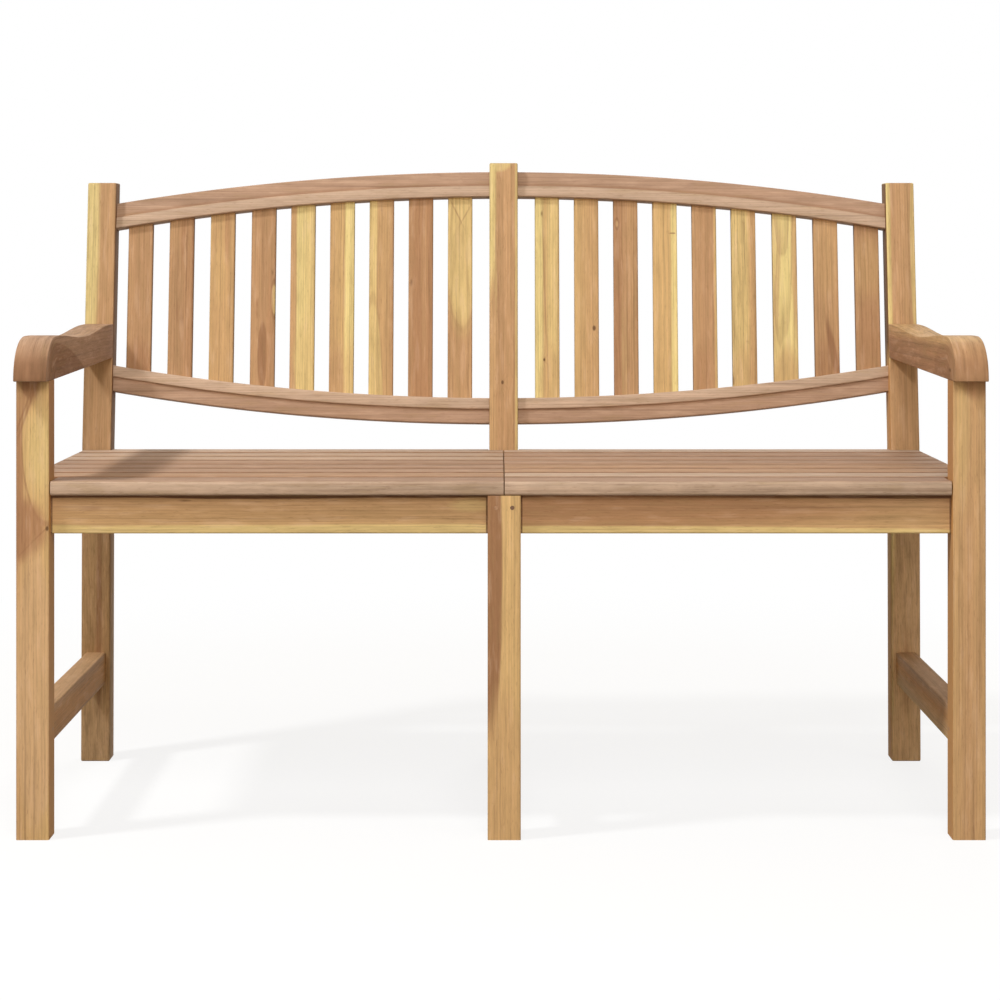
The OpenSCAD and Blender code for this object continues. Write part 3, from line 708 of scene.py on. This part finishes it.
FINISH = {
    # painted_side_shade paints shade on the front legs' inner faces. On the left leg the patches at 268, 262
    # and 290 along, and on the right leg the one at 290, are painted shadow under the arm's nose; the one at
    # 262 is partly dark wood as well.
    "front_leg_left": dict(
        turn="upright", seed=1, inner=1, painted_side_shade=[(WHOLE, "shade_amber", 0.9), (165, "umber", 0.6)],
        bands=[(-20, "tan"), (-14, "gold"), (20, "honey")], knots=[(89, 18, 2.2)], patches=[
            patch(150, -19, 100, 8, "bark", 0.8, soft=6),
            patch(207, 18, 112, 31, "honey", 1.0, soft=2, rim=0.5),
            patch(185, 10, 50, 16, "straw", 0.8, soft=14),
            patch(268, -4, 18, 11, "umber", 0.9, soft=9),
            patch(262, -3, 32, 11, "bark", 0.6, slope=0.3, soft=9),
            patch(240, -5, 42, 1.6, "umber", 0.7, slope=0.33),
            patch(232, -12, 40, 1.4, "umber", 0.7, slope=0.36),
            patch(88, -17, 38, 34, "bark", 0.9, soft=18),
            patch(78, 6, 20, 1.3, "umber", 0.6, slope=1.0),
            patch(-110, 3, 170, 24, "fawn", 0.9, soft=8),
            patch(290, 0, 26, 90, "dark", 0.5, soft=60)]),
    "front_leg_right": dict(
        turn="upright", seed=2, inner=-1, painted_side_shade=[(WHOLE, "shade_amber", 0.85), (165, "bark", 0.4)],
        bands=[(-20, "gold"), (0, "tan"), (20, "gold")], patches=[
            patch(215, -8, 90, 9, "straw", 0.35, soft=9),
            patch(270, 12, 20, 20, "bark", 0.6, soft=12),
            patch(290, 0, 24, 90, "dark", 0.45, soft=60),
            patch(-60, 12, 160, 3, "brown", 0.4, slope=0.02)]),
    "front_leg_middle": dict(
        turn="upright", seed=3, shade=1.03, bands=[(-20, "honey"), (20, "honey")], patches=[
            patch(110, -16, 190, 13, "umber", 0.95, soft=3, rim=0.4),
            patch(-150, 0, 120, 24, "gold", 0.8, soft=14)]),
    # The dark band along the top of each apron is a painted shadow under the front slat.
    "front_apron_left": dict(
        turn="level", seed=10, shade=0.95, wander=3.0,
        bands=[(-24, "straw"), (-15, "straw"), (-12, "gold"), (19.5, "tan"), (21, "dark")], patches=[
            patch(-105, 17, 5, 1.2, "dark", 0.6),
            patch(-221, 7, 12, 3, "umber", 0.35),
            patch(251, 11, 25, 8, "straw", 0.5, soft=8),
            *painted_end_shadows(271)]),
    "front_apron_right": dict(
        turn="level", seed=11, shade=0.95, wander=3.0,
        bands=[(-24, "gold"), (-12, "gold"), (19.5, "brown"), (21, "dark")], patches=[
            patch(-130, 4, 260, 20, "bark", 0.7, soft=16),
            patch(-250, -26, 650, 11, "straw", 1.0, soft=2),
            *painted_end_shadows(267)]),
    "stretcher_left": dict(
        turn="sideways", seed=4, bands=[(-22, "brown"), (-16, "shade_amber"), (8, "shade_amber"), (22, "tan")]),
    "stretcher_right": dict(
        turn="sideways", seed=5, bands=[(-22, "honey"), (-16, "gold"), (6, "shade_amber"), (22, "brown")]),
    "stretcher_middle": dict(turn="sideways", seed=6, bands=[(-22, "gold"), (22, "tan")]),
    "seat_rail_left": dict(turn="sideways", seed=7, bands=[(-20, "tan"), (20, "gold")]),
    "seat_rail_right": dict(turn="sideways", seed=8, bands=[(-20, "gold"), (20, "tan")]),
    "seat_bearer_middle": dict(turn="sideways", seed=9, bands=[(-20, "tan"), (20, "gold")]),
    "rear_rail_left": dict(turn="level", seed=12, bands=[(-20, "gold"), (20, "tan")]),
    "rear_rail_right": dict(turn="level", seed=13, bands=[(-20, "tan"), (20, "gold")]),
}
for node, look in FINISH.items():
    dress(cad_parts[node], teak("teak_" + node, middle(node), **look))
print("packed boards with a finish:", len(FINISH))

# %% [markdown]
# The rear posts stand behind the seat and the arms, so their tones are painted a little deeper, as painted
# shade. On an arm the grain follows the nose down, and the arms are darker than the posts.

# %% Finish of the posts and arms
# The pale foot and the right post's fawn patch low down are painted light, where light reaches in under the
# seat. painted_side_shade darkens the posts' inner faces as painted shade.
PAINTED_LIGHT_FOOT = patch(-450, 0, 110, 60, "fawn", 0.9, soft=30)
POST_LOOKS = {
    "left": dict(
        seed=21, inner=1, shade=0.88, painted_side_shade=[(0, "dark", 0.7)], bands=[(-20, "tan"), (20, "tan")], patches=[
            patch(340, -26, 330, 23, "sap", 0.85, soft=8),
            patch(40, -14, 125, 16, "tan", 1.0, soft=2),
            patch(-250, 0, 200, 22, "gold", 0.7, soft=12),
            patch(-220, 5, 150, 4, "bark", 0.8),
            PAINTED_LIGHT_FOOT]),
    "middle": dict(
        seed=22, shade=0.92, painted_side_shade=[(0, "dark", 0.7)], knots=[(106, -1.6, 2.0)],
        bands=[(-20, "sap"), (-12, "straw"), (-9, "tan"), (16, "tan"), (18, "straw")], patches=[
            patch(110, -16, 150, 8, "tan", 0.9, soft=4),
            patch(430, -8, 16, 20, "sap", 0.6, soft=8),
            patch(290, -12, 60, 1.0, "umber", 0.6, slope=0.02),
            patch(250, -9, 50, 0.9, "umber", 0.5, slope=-0.03),
            patch(330, -7, 40, 0.8, "umber", 0.4, slope=0.04)]),
    "right": dict(
        seed=23, inner=-1, shade=0.96, painted_side_shade=[(WHOLE, "shade_amber", 0.7), (180, "dark", 0.85)],
        bands=[(-20, "sap"), (-15, "straw"), (-13, "brown"), (8, "tan"), (20, "tan")], patches=[
            patch(300, 21, 140, 7, "straw", 0.9, soft=2),
            patch(40, -15, 125, 12, "tan", 1.0, soft=2),
            patch(-250, 0, 200, 22, "fawn", 1.0, soft=12),
            patch(-330, 0, 90, 4, "bark", 0.5),
            PAINTED_LIGHT_FOOT]),
}
for side, post in posts.items():
    dress(post, teak("teak_post_" + side, middle("rear_post_" + side), "leaning", **POST_LOOKS[side]))
# The umber patches on the arms' inner sides, behind the noses, are painted shadow.
ARM_LOOKS = {
    "left": dict(seed=24, shade=0.84, grain=1.25, ends=0.9, bands=[(-27, "hazel"), (20, "hazel")], patches=[
        patch(-107, -17, 150, 22, "umber", 0.9, slope=-0.178, soft=3),
        patch(-215, -20, 68, 34, "umber", 0.9, soft=4)]),
    "right": dict(seed=25, shade=0.93, grain=1.3,
                  bands=[(-27, "bark"), (10, "chestnut"), (20, "gold")], patches=[
        patch(-300, 0, 60, 40, "brown", 0.8, soft=10),
        patch(-207, -12, 76, 27, "umber", 0.55, soft=6)]),
}
nose_at = (place(0, NOSE_END, ARM_UNDER) - middle("armrest_left")) / MM
for side, arm in arms.items():
    dress(arm, teak("teak_arm_" + side, middle("armrest_" + side), "sideways", nose=(nose_at.y, nose_at.z),
                    **ARM_LOOKS[side]))
print("posts and arms:", len(POST_LOOKS) + len(ARM_LOOKS))

# %% [markdown]
# On the arched rails the bead next to the slats is paler than the band outside it, and a painted shadow line
# lies in the step between them. The distance from the arch's far centre tells the three apart, so their
# borders follow the curve exactly.

# %% Finish of the arched rails
STEP_BLUR = 0.6  # half the width of the border between bead and band
# The step's dark line is a painted shadow.
STEP_SHADOW_OUT = 1.3  # the dark line lies this far outside the step
STEP_SHADOW_FADE, STEP_SHADOW_CORE, STEP_SHADOW_STRENGTH = 4.2, 0.5, 0.4


def moulded(wood, colour, centre, radius):
    """Tells bead, step and band apart by how far they lie from the arch's centre, and paints a shadow line
    beside the step.
    """
    up = wood.across - centre
    out = distance(wood.along, up) - radius
    colour = wood.blend(wood.slide(out, LEDGE - STEP_BLUR, LEDGE + STEP_BLUR), colour, tone("clay"))
    step = out - (LEDGE + STEP_SHADOW_OUT)
    line = wood.slide(distance(step), STEP_SHADOW_FADE, STEP_SHADOW_CORE)
    return wood.blend(line * STEP_SHADOW_STRENGTH, colour, tone("umber"))


ARCH_SEEDS = {("left", True): 47, ("left", False): 49, ("right", True): 45, ("right", False): 47}
for (side, top), rail in arches.items():
    centre_up = TOP_MID - ARCH_R if top else LOWER_MID + ARCH_R
    dress(rail, teak("teak_" + arch_node(side, top), place(0, BEND_Y, BEND_Z), "arched",
                     [(-30, "rose"), (30, "rose")], ARCH_SEEDS[side, top], shade=0.95,
                     arch=(centre_up, ARCH_R)))
print("arched rails with a finish:", len(arches))

# %% [markdown]
# Rain and sun have bleached the seat to a pinkish grey, and its grain stands out more. The slats' long edges
# are painted darker, as painted shade for the gaps between them. The first slat's front edge is painted
# lighter instead, as a painted highlight, and the last one's rear edge keeps the top's tone.

# %% Finish of the seat
SEAT_TONES = ["rose", "clay", "rose", "hazel", "clay", "rose", "hazel", "clay"]
SEAT_SEEDS = {"left": 54, "right": 41}
FRONT_AT, FRONT_TOP_AT, REAR_TOP_AT, REAR_AT = -28.4, -26, 25.5, 28.8
for (side, i), slat in seat.items():
    node = seat_node(side, i)
    word = SEAT_TONES[(i * 3 + (side == "right") * 2) % len(SEAT_TONES)] if i > 1 else "rose"
    # painted_front_edge and painted_rear_edge carry the painted shade of the gaps, and the first slat's
    # painted highlight.
    top, painted_front_edge = ("clay", word) if i == 1 else (word, "umber")
    painted_rear_edge = top if i == SLATS else "dark"
    dress(slat, teak("teak_" + node, middle(node), "lying",
                     [(FRONT_AT, painted_front_edge), (FRONT_TOP_AT, top), (REAR_TOP_AT, top), (REAR_AT, painted_rear_edge)],
                     SEAT_SEEDS[side] + i, shade=0.84 if i == 1 else 0.93, grain=1.1 if i == 1 else 1.35))
print("seat slats with a finish:", len(seat))

# %% [markdown]
# The back slats show every tone of the tree, from yellow sapwood to red heartwood. They are counted from the
# middle post outwards. Their narrow side faces look at each other, where little light comes, so they get a
# painted dark shade.

# %% Finish of the back slats on the left
SLAT_LOOKS = {}
SLAT_LOOKS["left"] = [
    dict(bands=[(-18, "brown"), (-14, "tan"), (18, "tan")], pith=(0, 36), tilt=(0, 0.02), pitch=2.8, patches=[
        patch(100, 3, 147, 26, "straw", 0.95, soft=9, rim=0.2),
        patch(123, -5, 13, 0.9, "umber", 0.7, slope=-0.5),
        patch(121, 7.8, 11, 0.9, "umber", 0.6, slope=0.56)]),
    dict(bands=[(-18, "brown"), (-8, "chestnut"), (18, "chestnut")], patches=[
        patch(20, 6, 120, 4, "tan", 0.5),
        patch(22, -13.3, 4, 1.5, "dark", 0.6)]),
    dict(bands=[(-18, "straw"), (-8, "straw"), (-5, "gold"), (10, "gold"), (18, "brown")], patches=[
        patch(-150, -12, 150, 15, "straw", 0.8, soft=3, rim=0.3)]),
    dict(bands=[(-18, "gold"), (0, "honey"), (3, "honey"), (5, "sap"), (18, "sap")], patches=[
        patch(-140, -8, 70, 12, "brown", 0.6, soft=8),
        patch(-140, 12, 80, 9, "honey", 0.6, soft=8)]),
    dict(bands=[(-18, "tan"), (-10, "gold"), (-7, "sap"), (18, "straw")], patches=[
        patch(-140, 4, 110, 18, "straw", 0.7, soft=8),
        patch(-150, -16, 60, 8, "brown", 0.7, soft=4)]),
    dict(bands=[(-18, "brown"), (18, "brown")], patches=[
        patch(-85, 0, 42, 6, "umber", 0.8, soft=5, rim=0.5),
        patch(-3, 16, 26, 5, "straw", 0.8, soft=2, rim=0.8),
        patch(36, 13.3, 3, 1.2, "dark", 0.6),
        patch(-10, -8.6, 6, 1.2, "umber", 0.7),
        patch(-24, -8.4, 5, 1.2, "umber", 0.7),
        patch(-60, 10, 110, 5, "chestnut", 0.6)]),
    dict(bands=[(-18, "honey"), (-13, "gold"), (18, "gold")], patches=[
        patch(100, 7, 50, 4, "bark", 0.5),
        patch(40, -4, 50, 8, "honey", 0.5, soft=6)]),
    dict(bands=[(-18, "brown"), (0, "brown"), (18, "chestnut")], patches=[
        patch(130, -8, 60, 12, "tan", 0.8, soft=6),
        patch(120, 2, 70, 3.5, "bark", 0.6),
        patch(-20, -4, 14, 2, "umber", 0.4),
        patch(-32, 3, 12, 2, "umber", 0.4)]),
    # The outermost slat's lower patch is a painted shadow of the arm.
    dict(bands=[(-18, "brown"), (18, "brown")], patches=[patch(-125, 0, 60, 22, "bark", 0.8, soft=14)]),
]
print("looks of the left back slats:", len(SLAT_LOOKS["left"]))

# %% Finish of the back slats on the right
SLAT_SEEDS = {"left": 71, "right": 60}
SLAT_LOOKS["right"] = [
    dict(bands=[(-18, "sap"), (-8, "sap"), (-4, "honey"), (4, "straw"), (16, "straw"), (18, "brown")],
         knots=[(-91, -4.5, 1.4)], patches=[
        patch(10, -3.5, 140, 1.0, "umber", 0.6, slope=-0.034),
        patch(123, -7.9, 3, 1.3, "dark", 0.7),
        patch(-91, -4.5, 3, 1.3, "dark", 0.7),
        patch(-140, 4, 70, 16, "gold", 0.5, soft=10)]),
    dict(bands=[(-18, "honey"), (4, "gold"), (18, "gold")], knots=[(-45, 10.8, 3.0)]),
    dict(bands=[(-18, "chestnut"), (-9, "chestnut"), (-4, "brown"), (6, "tan"), (18, "tan")], patches=[
        patch(108, -13, 7, 2.5, "gold", 0.9, soft=1, rim=0.8),
        patch(-90, -5, 60, 1.0, "straw", 0.5),
        patch(-95, -1, 50, 0.8, "straw", 0.4)]),
    dict(bands=[(-18, "honey"), (7, "honey"), (10, "sap"), (18, "sap")], shade=1.03, patches=[
        patch(94, 10.8, 1.2, 4.5, "umber", 0.7)]),
    dict(bands=[(-18, "tan"), (0, "brown"), (13, "brown"), (15, "honey"), (18, "straw")], patches=[
        patch(-130, -4, 60, 14, "chestnut", 0.6, soft=10)]),
    dict(bands=[(-18, "straw"), (4, "straw"), (10, "gold"), (18, "gold")], grain=1.4, patches=[
        patch(-121, -17.8, 6, 2.5, "dark", 0.7),
        patch(-130, 0, 60, 18, "gold", 0.5, soft=12)]),
    dict(bands=[(-18, "straw"), (-6, "sap"), (8, "sap"), (18, "straw")],
         pith=(-4, 34), tilt=(0, -0.02), pitch=2.8, rings=0.3, patches=[
        patch(30, -9, 60, 1.2, "brown", 0.7, slope=0.05),
        patch(20, -13, 60, 1.2, "brown", 0.7, slope=0.05),
        patch(60, 18, 110, 8, "gold", 0.7, soft=4),
        patch(-130, 0, 60, 18, "gold", 0.7, soft=12)]),
    dict(bands=[(-18, "brown"), (0, "tan"), (18, "tan")], patches=[
        patch(-82, 9, 50, 5, "umber", 0.9, slope=-0.18, soft=4),
        patch(-120, 2, 60, 20, "bark", 0.6, soft=14),
        patch(60, 0, 60, 20, "gold", 0.6, soft=14)]),
    dict(bands=[(-18, "brown"), (18, "brown")], patches=[
        patch(110, 0, 40, 18, "bark", 0.6, soft=14),
        patch(45, 0, 50, 20, "gold", 0.7, soft=14),
        patch(-60, 0, 70, 18, "chestnut", 0.5, soft=14)]),
]
for side, looks in SLAT_LOOKS.items():
    for i, look in enumerate(looks, 1):
        node = "back_slat_%s_%d" % (side, i)
        look = {"shade": 0.95, **look}
        dress(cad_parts[node], teak("teak_" + node, middle(node), "leaning", seed=SLAT_SEEDS[side] + i,
                                         painted_side_shade=[(WHOLE, "dark", 0.6)], **look))
print("back slats:", sum(len(v) for v in SLAT_LOOKS.values()))

# %% [markdown]
# The pins are pegs of the same teak, driven in with their end grain outwards and
# sanded flush. One in the middle leg has taken up more oil and shows as a dark
# dot, so the dark tone lies only round that peg's front end.

# %% Finish of the pins
DARK_PEG_X, DARK_PEG_Z = 14.3, 409.0
DARK_OUT, DARK_CORE = 6.0, 4.0
DARK_BACK, DARK_FRONT = -240.0, -245.0
pegs = Board("teak_pegs", (0, 0, 0), "upright", 5)
peg_colour = pegs.blend(pegs.slide(pegs.noise(3, 1.2, 2.0, 1.0), 0.35, 0.7), tone("chestnut"), tone("umber"))
from_peg = distance(pegs.across - DARK_PEG_X, pegs.along - DARK_PEG_Z)
oiled = pegs.slide(from_peg, DARK_OUT, DARK_CORE) * pegs.slide(pegs.into, DARK_BACK, DARK_FRONT)
peg_colour = pegs.blend(oiled * 0.9, peg_colour, tone("dark"))
dress(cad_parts["tenon_pins"], pegs.show(pegs.add("ShaderNodeBsdfPrincipled", sockets={
    "Base Color": peg_colour, "Roughness": 0.5 + pegs.noise(4, 1.0, 1.0, 2.0) * 0.2})))
print("pins dressed")

# %% [markdown]
# The bolts, nuts and screws are zinc plated steel. It has a faint brushed grain,
# and it is duller and a little rougher in patches, as zinc gets out of doors.

# %% Finish of the steel fasteners
FASTENERS = ("assembly_bolts", "barrel_nuts", "slat_screws")
steel = Board("zinc_plated_steel", (0, 0, 0), "lying", 7)
brushed = steel.noise(6, 0.4, 3.0, 1.0)
patina = steel.slide(steel.noise(20, 20, 3.0, 4.0), 0.4, 0.7)
zinc, dull_zinc = (*screen(206, 206, 202), 1), (*screen(176, 178, 178), 1)
steel_finish = steel.show(steel.add("ShaderNodeBsdfPrincipled", sockets={
    "Base Color": steel.blend(patina, zinc, dull_zinc), "Metallic": 1.0,
    "Roughness": 0.25 + brushed * 0.2 + patina * 0.1}))
for node in FASTENERS:
    dress(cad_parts[node], steel_finish)
print("steel fasteners dressed:", ", ".join(FASTENERS))

# %% [markdown]
# The studio is a pale floor, a white surround and soft lamps. Only the camera and
# mirrors see the white: the light that reaches the wood is weaker and a little
# warm. Close to the bench the floor keeps the bench's shadow, and far away it
# glows as white as the surround, so that no horizon shows.

# %% The floor
FLOOR_SIZE, FLOOR_GREY = 14.0, 0.25
GLOW_NEAR, GLOW_FAR = 0.82, 1.0
NEAR, FAR = 900.0, 2200.0
PURE_WHITE = (1, 1, 1, 1)
floor_mesh = bpy.data.meshes.new("floor")
floor_shape = bmesh.new()
bmesh.ops.create_grid(floor_shape, x_segments=1, y_segments=1, size=FLOOR_SIZE)
floor_shape.to_mesh(floor_mesh)
floor_shape.free()
floor = bpy.data.objects.new("floor", floor_mesh)
bpy.context.scene.collection.objects.link(floor)

paper = Board("pale_floor", (0, 0, 0), "lying", 1)
seen = paper.any_ray("Is Camera Ray", "Is Glossy Ray")
glow_share = paper.slide(distance(paper.along, paper.across), NEAR, FAR, GLOW_NEAR, GLOW_FAR)
lit = paper.add("ShaderNodeBsdfDiffuse", sockets={
    "Color": (FLOOR_GREY, FLOOR_GREY * 0.93, FLOOR_GREY * 0.85, 1)})
clean = paper.add("ShaderNodeBsdfDiffuse", sockets={"Color": PURE_WHITE})
glow = paper.add("ShaderNodeEmission", sockets={"Color": PURE_WHITE, "Strength": 1.0})
shown = paper.add("ShaderNodeMixShader", sockets={0: glow_share, 1: clean, 2: glow})
dress(floor, paper.show(paper.add("ShaderNodeMixShader", sockets={0: seen, 1: lit, 2: shown})))
print("floor", FLOOR_SIZE * 2, "m wide")

# %% [markdown]
# The surround is a world with two lights. Rays from the camera, off a mirror or
# through glass meet pure white, and the rays that light the bench meet a soft warm
# tone.

# %% The surround
surround = Finish("surround", surround=True)
soft_light = surround.add("ShaderNodeBackground", sockets={"Color": (1.0, 0.83, 0.60, 1), "Strength": 0.30})
white = surround.add("ShaderNodeBackground", sockets={"Color": PURE_WHITE, "Strength": 1.0})
seen = surround.any_ray("Is Camera Ray", "Is Glossy Ray", "Is Transmission Ray")
world_light = surround.add("ShaderNodeMixShader", sockets={0: seen, 1: soft_light, 2: white})
bpy.context.scene.world = surround.show(world_light)
print("surround:", bpy.context.scene.world.name)

# %% [markdown]
# The main lamp stands high on the left, where it throws the arm's shadow on the
# seat. A large soft lamp over the camera fills the front, and a low warm one
# stands in for the light that a pale floor throws up at the legs. Two weak ones
# open the right side and the back.


# %% The lamps
def lamp(name, azimuth, height, away, size, power, target=(0, 0, 0.45), colour=(1, 1, 1)):
    """A round soft lamp: azimuth in degrees to the right of the camera's side, height in degrees."""
    a, h = math.radians(azimuth), math.radians(height)
    aim = Vector(target)
    spot = aim + away * Vector((math.cos(h) * math.sin(a), -math.cos(h) * math.cos(a), math.sin(h)))
    data = bpy.data.lights.new(name, "AREA")
    data.shape, data.size, data.energy, data.color = "DISK", size, power, colour
    light = bpy.data.objects.new(name, data)
    light.location = spot
    light.rotation_euler = (aim - spot).to_track_quat("-Z", "Y").to_euler()
    bpy.context.scene.collection.objects.link(light)


lamp("main_lamp", azimuth=-57, height=52, away=5.0, size=0.65, power=170, target=(-0.58, 0, 0.6))
lamp("front_lamp", azimuth=4, height=37, away=5.0, size=2.2, power=100)
lamp("side_lamp", azimuth=55, height=22, away=5.0, size=2.0, power=18)
lamp("low_lamp", azimuth=-6, height=5, away=5.0, size=1.8, power=58, target=(0.2, 0, 0.15),
     colour=(1, 0.85, 0.65))
lamp("back_lamp", azimuth=170, height=40, away=4.0, size=2.0, power=34)
print("lamps:", len(bpy.data.lights))
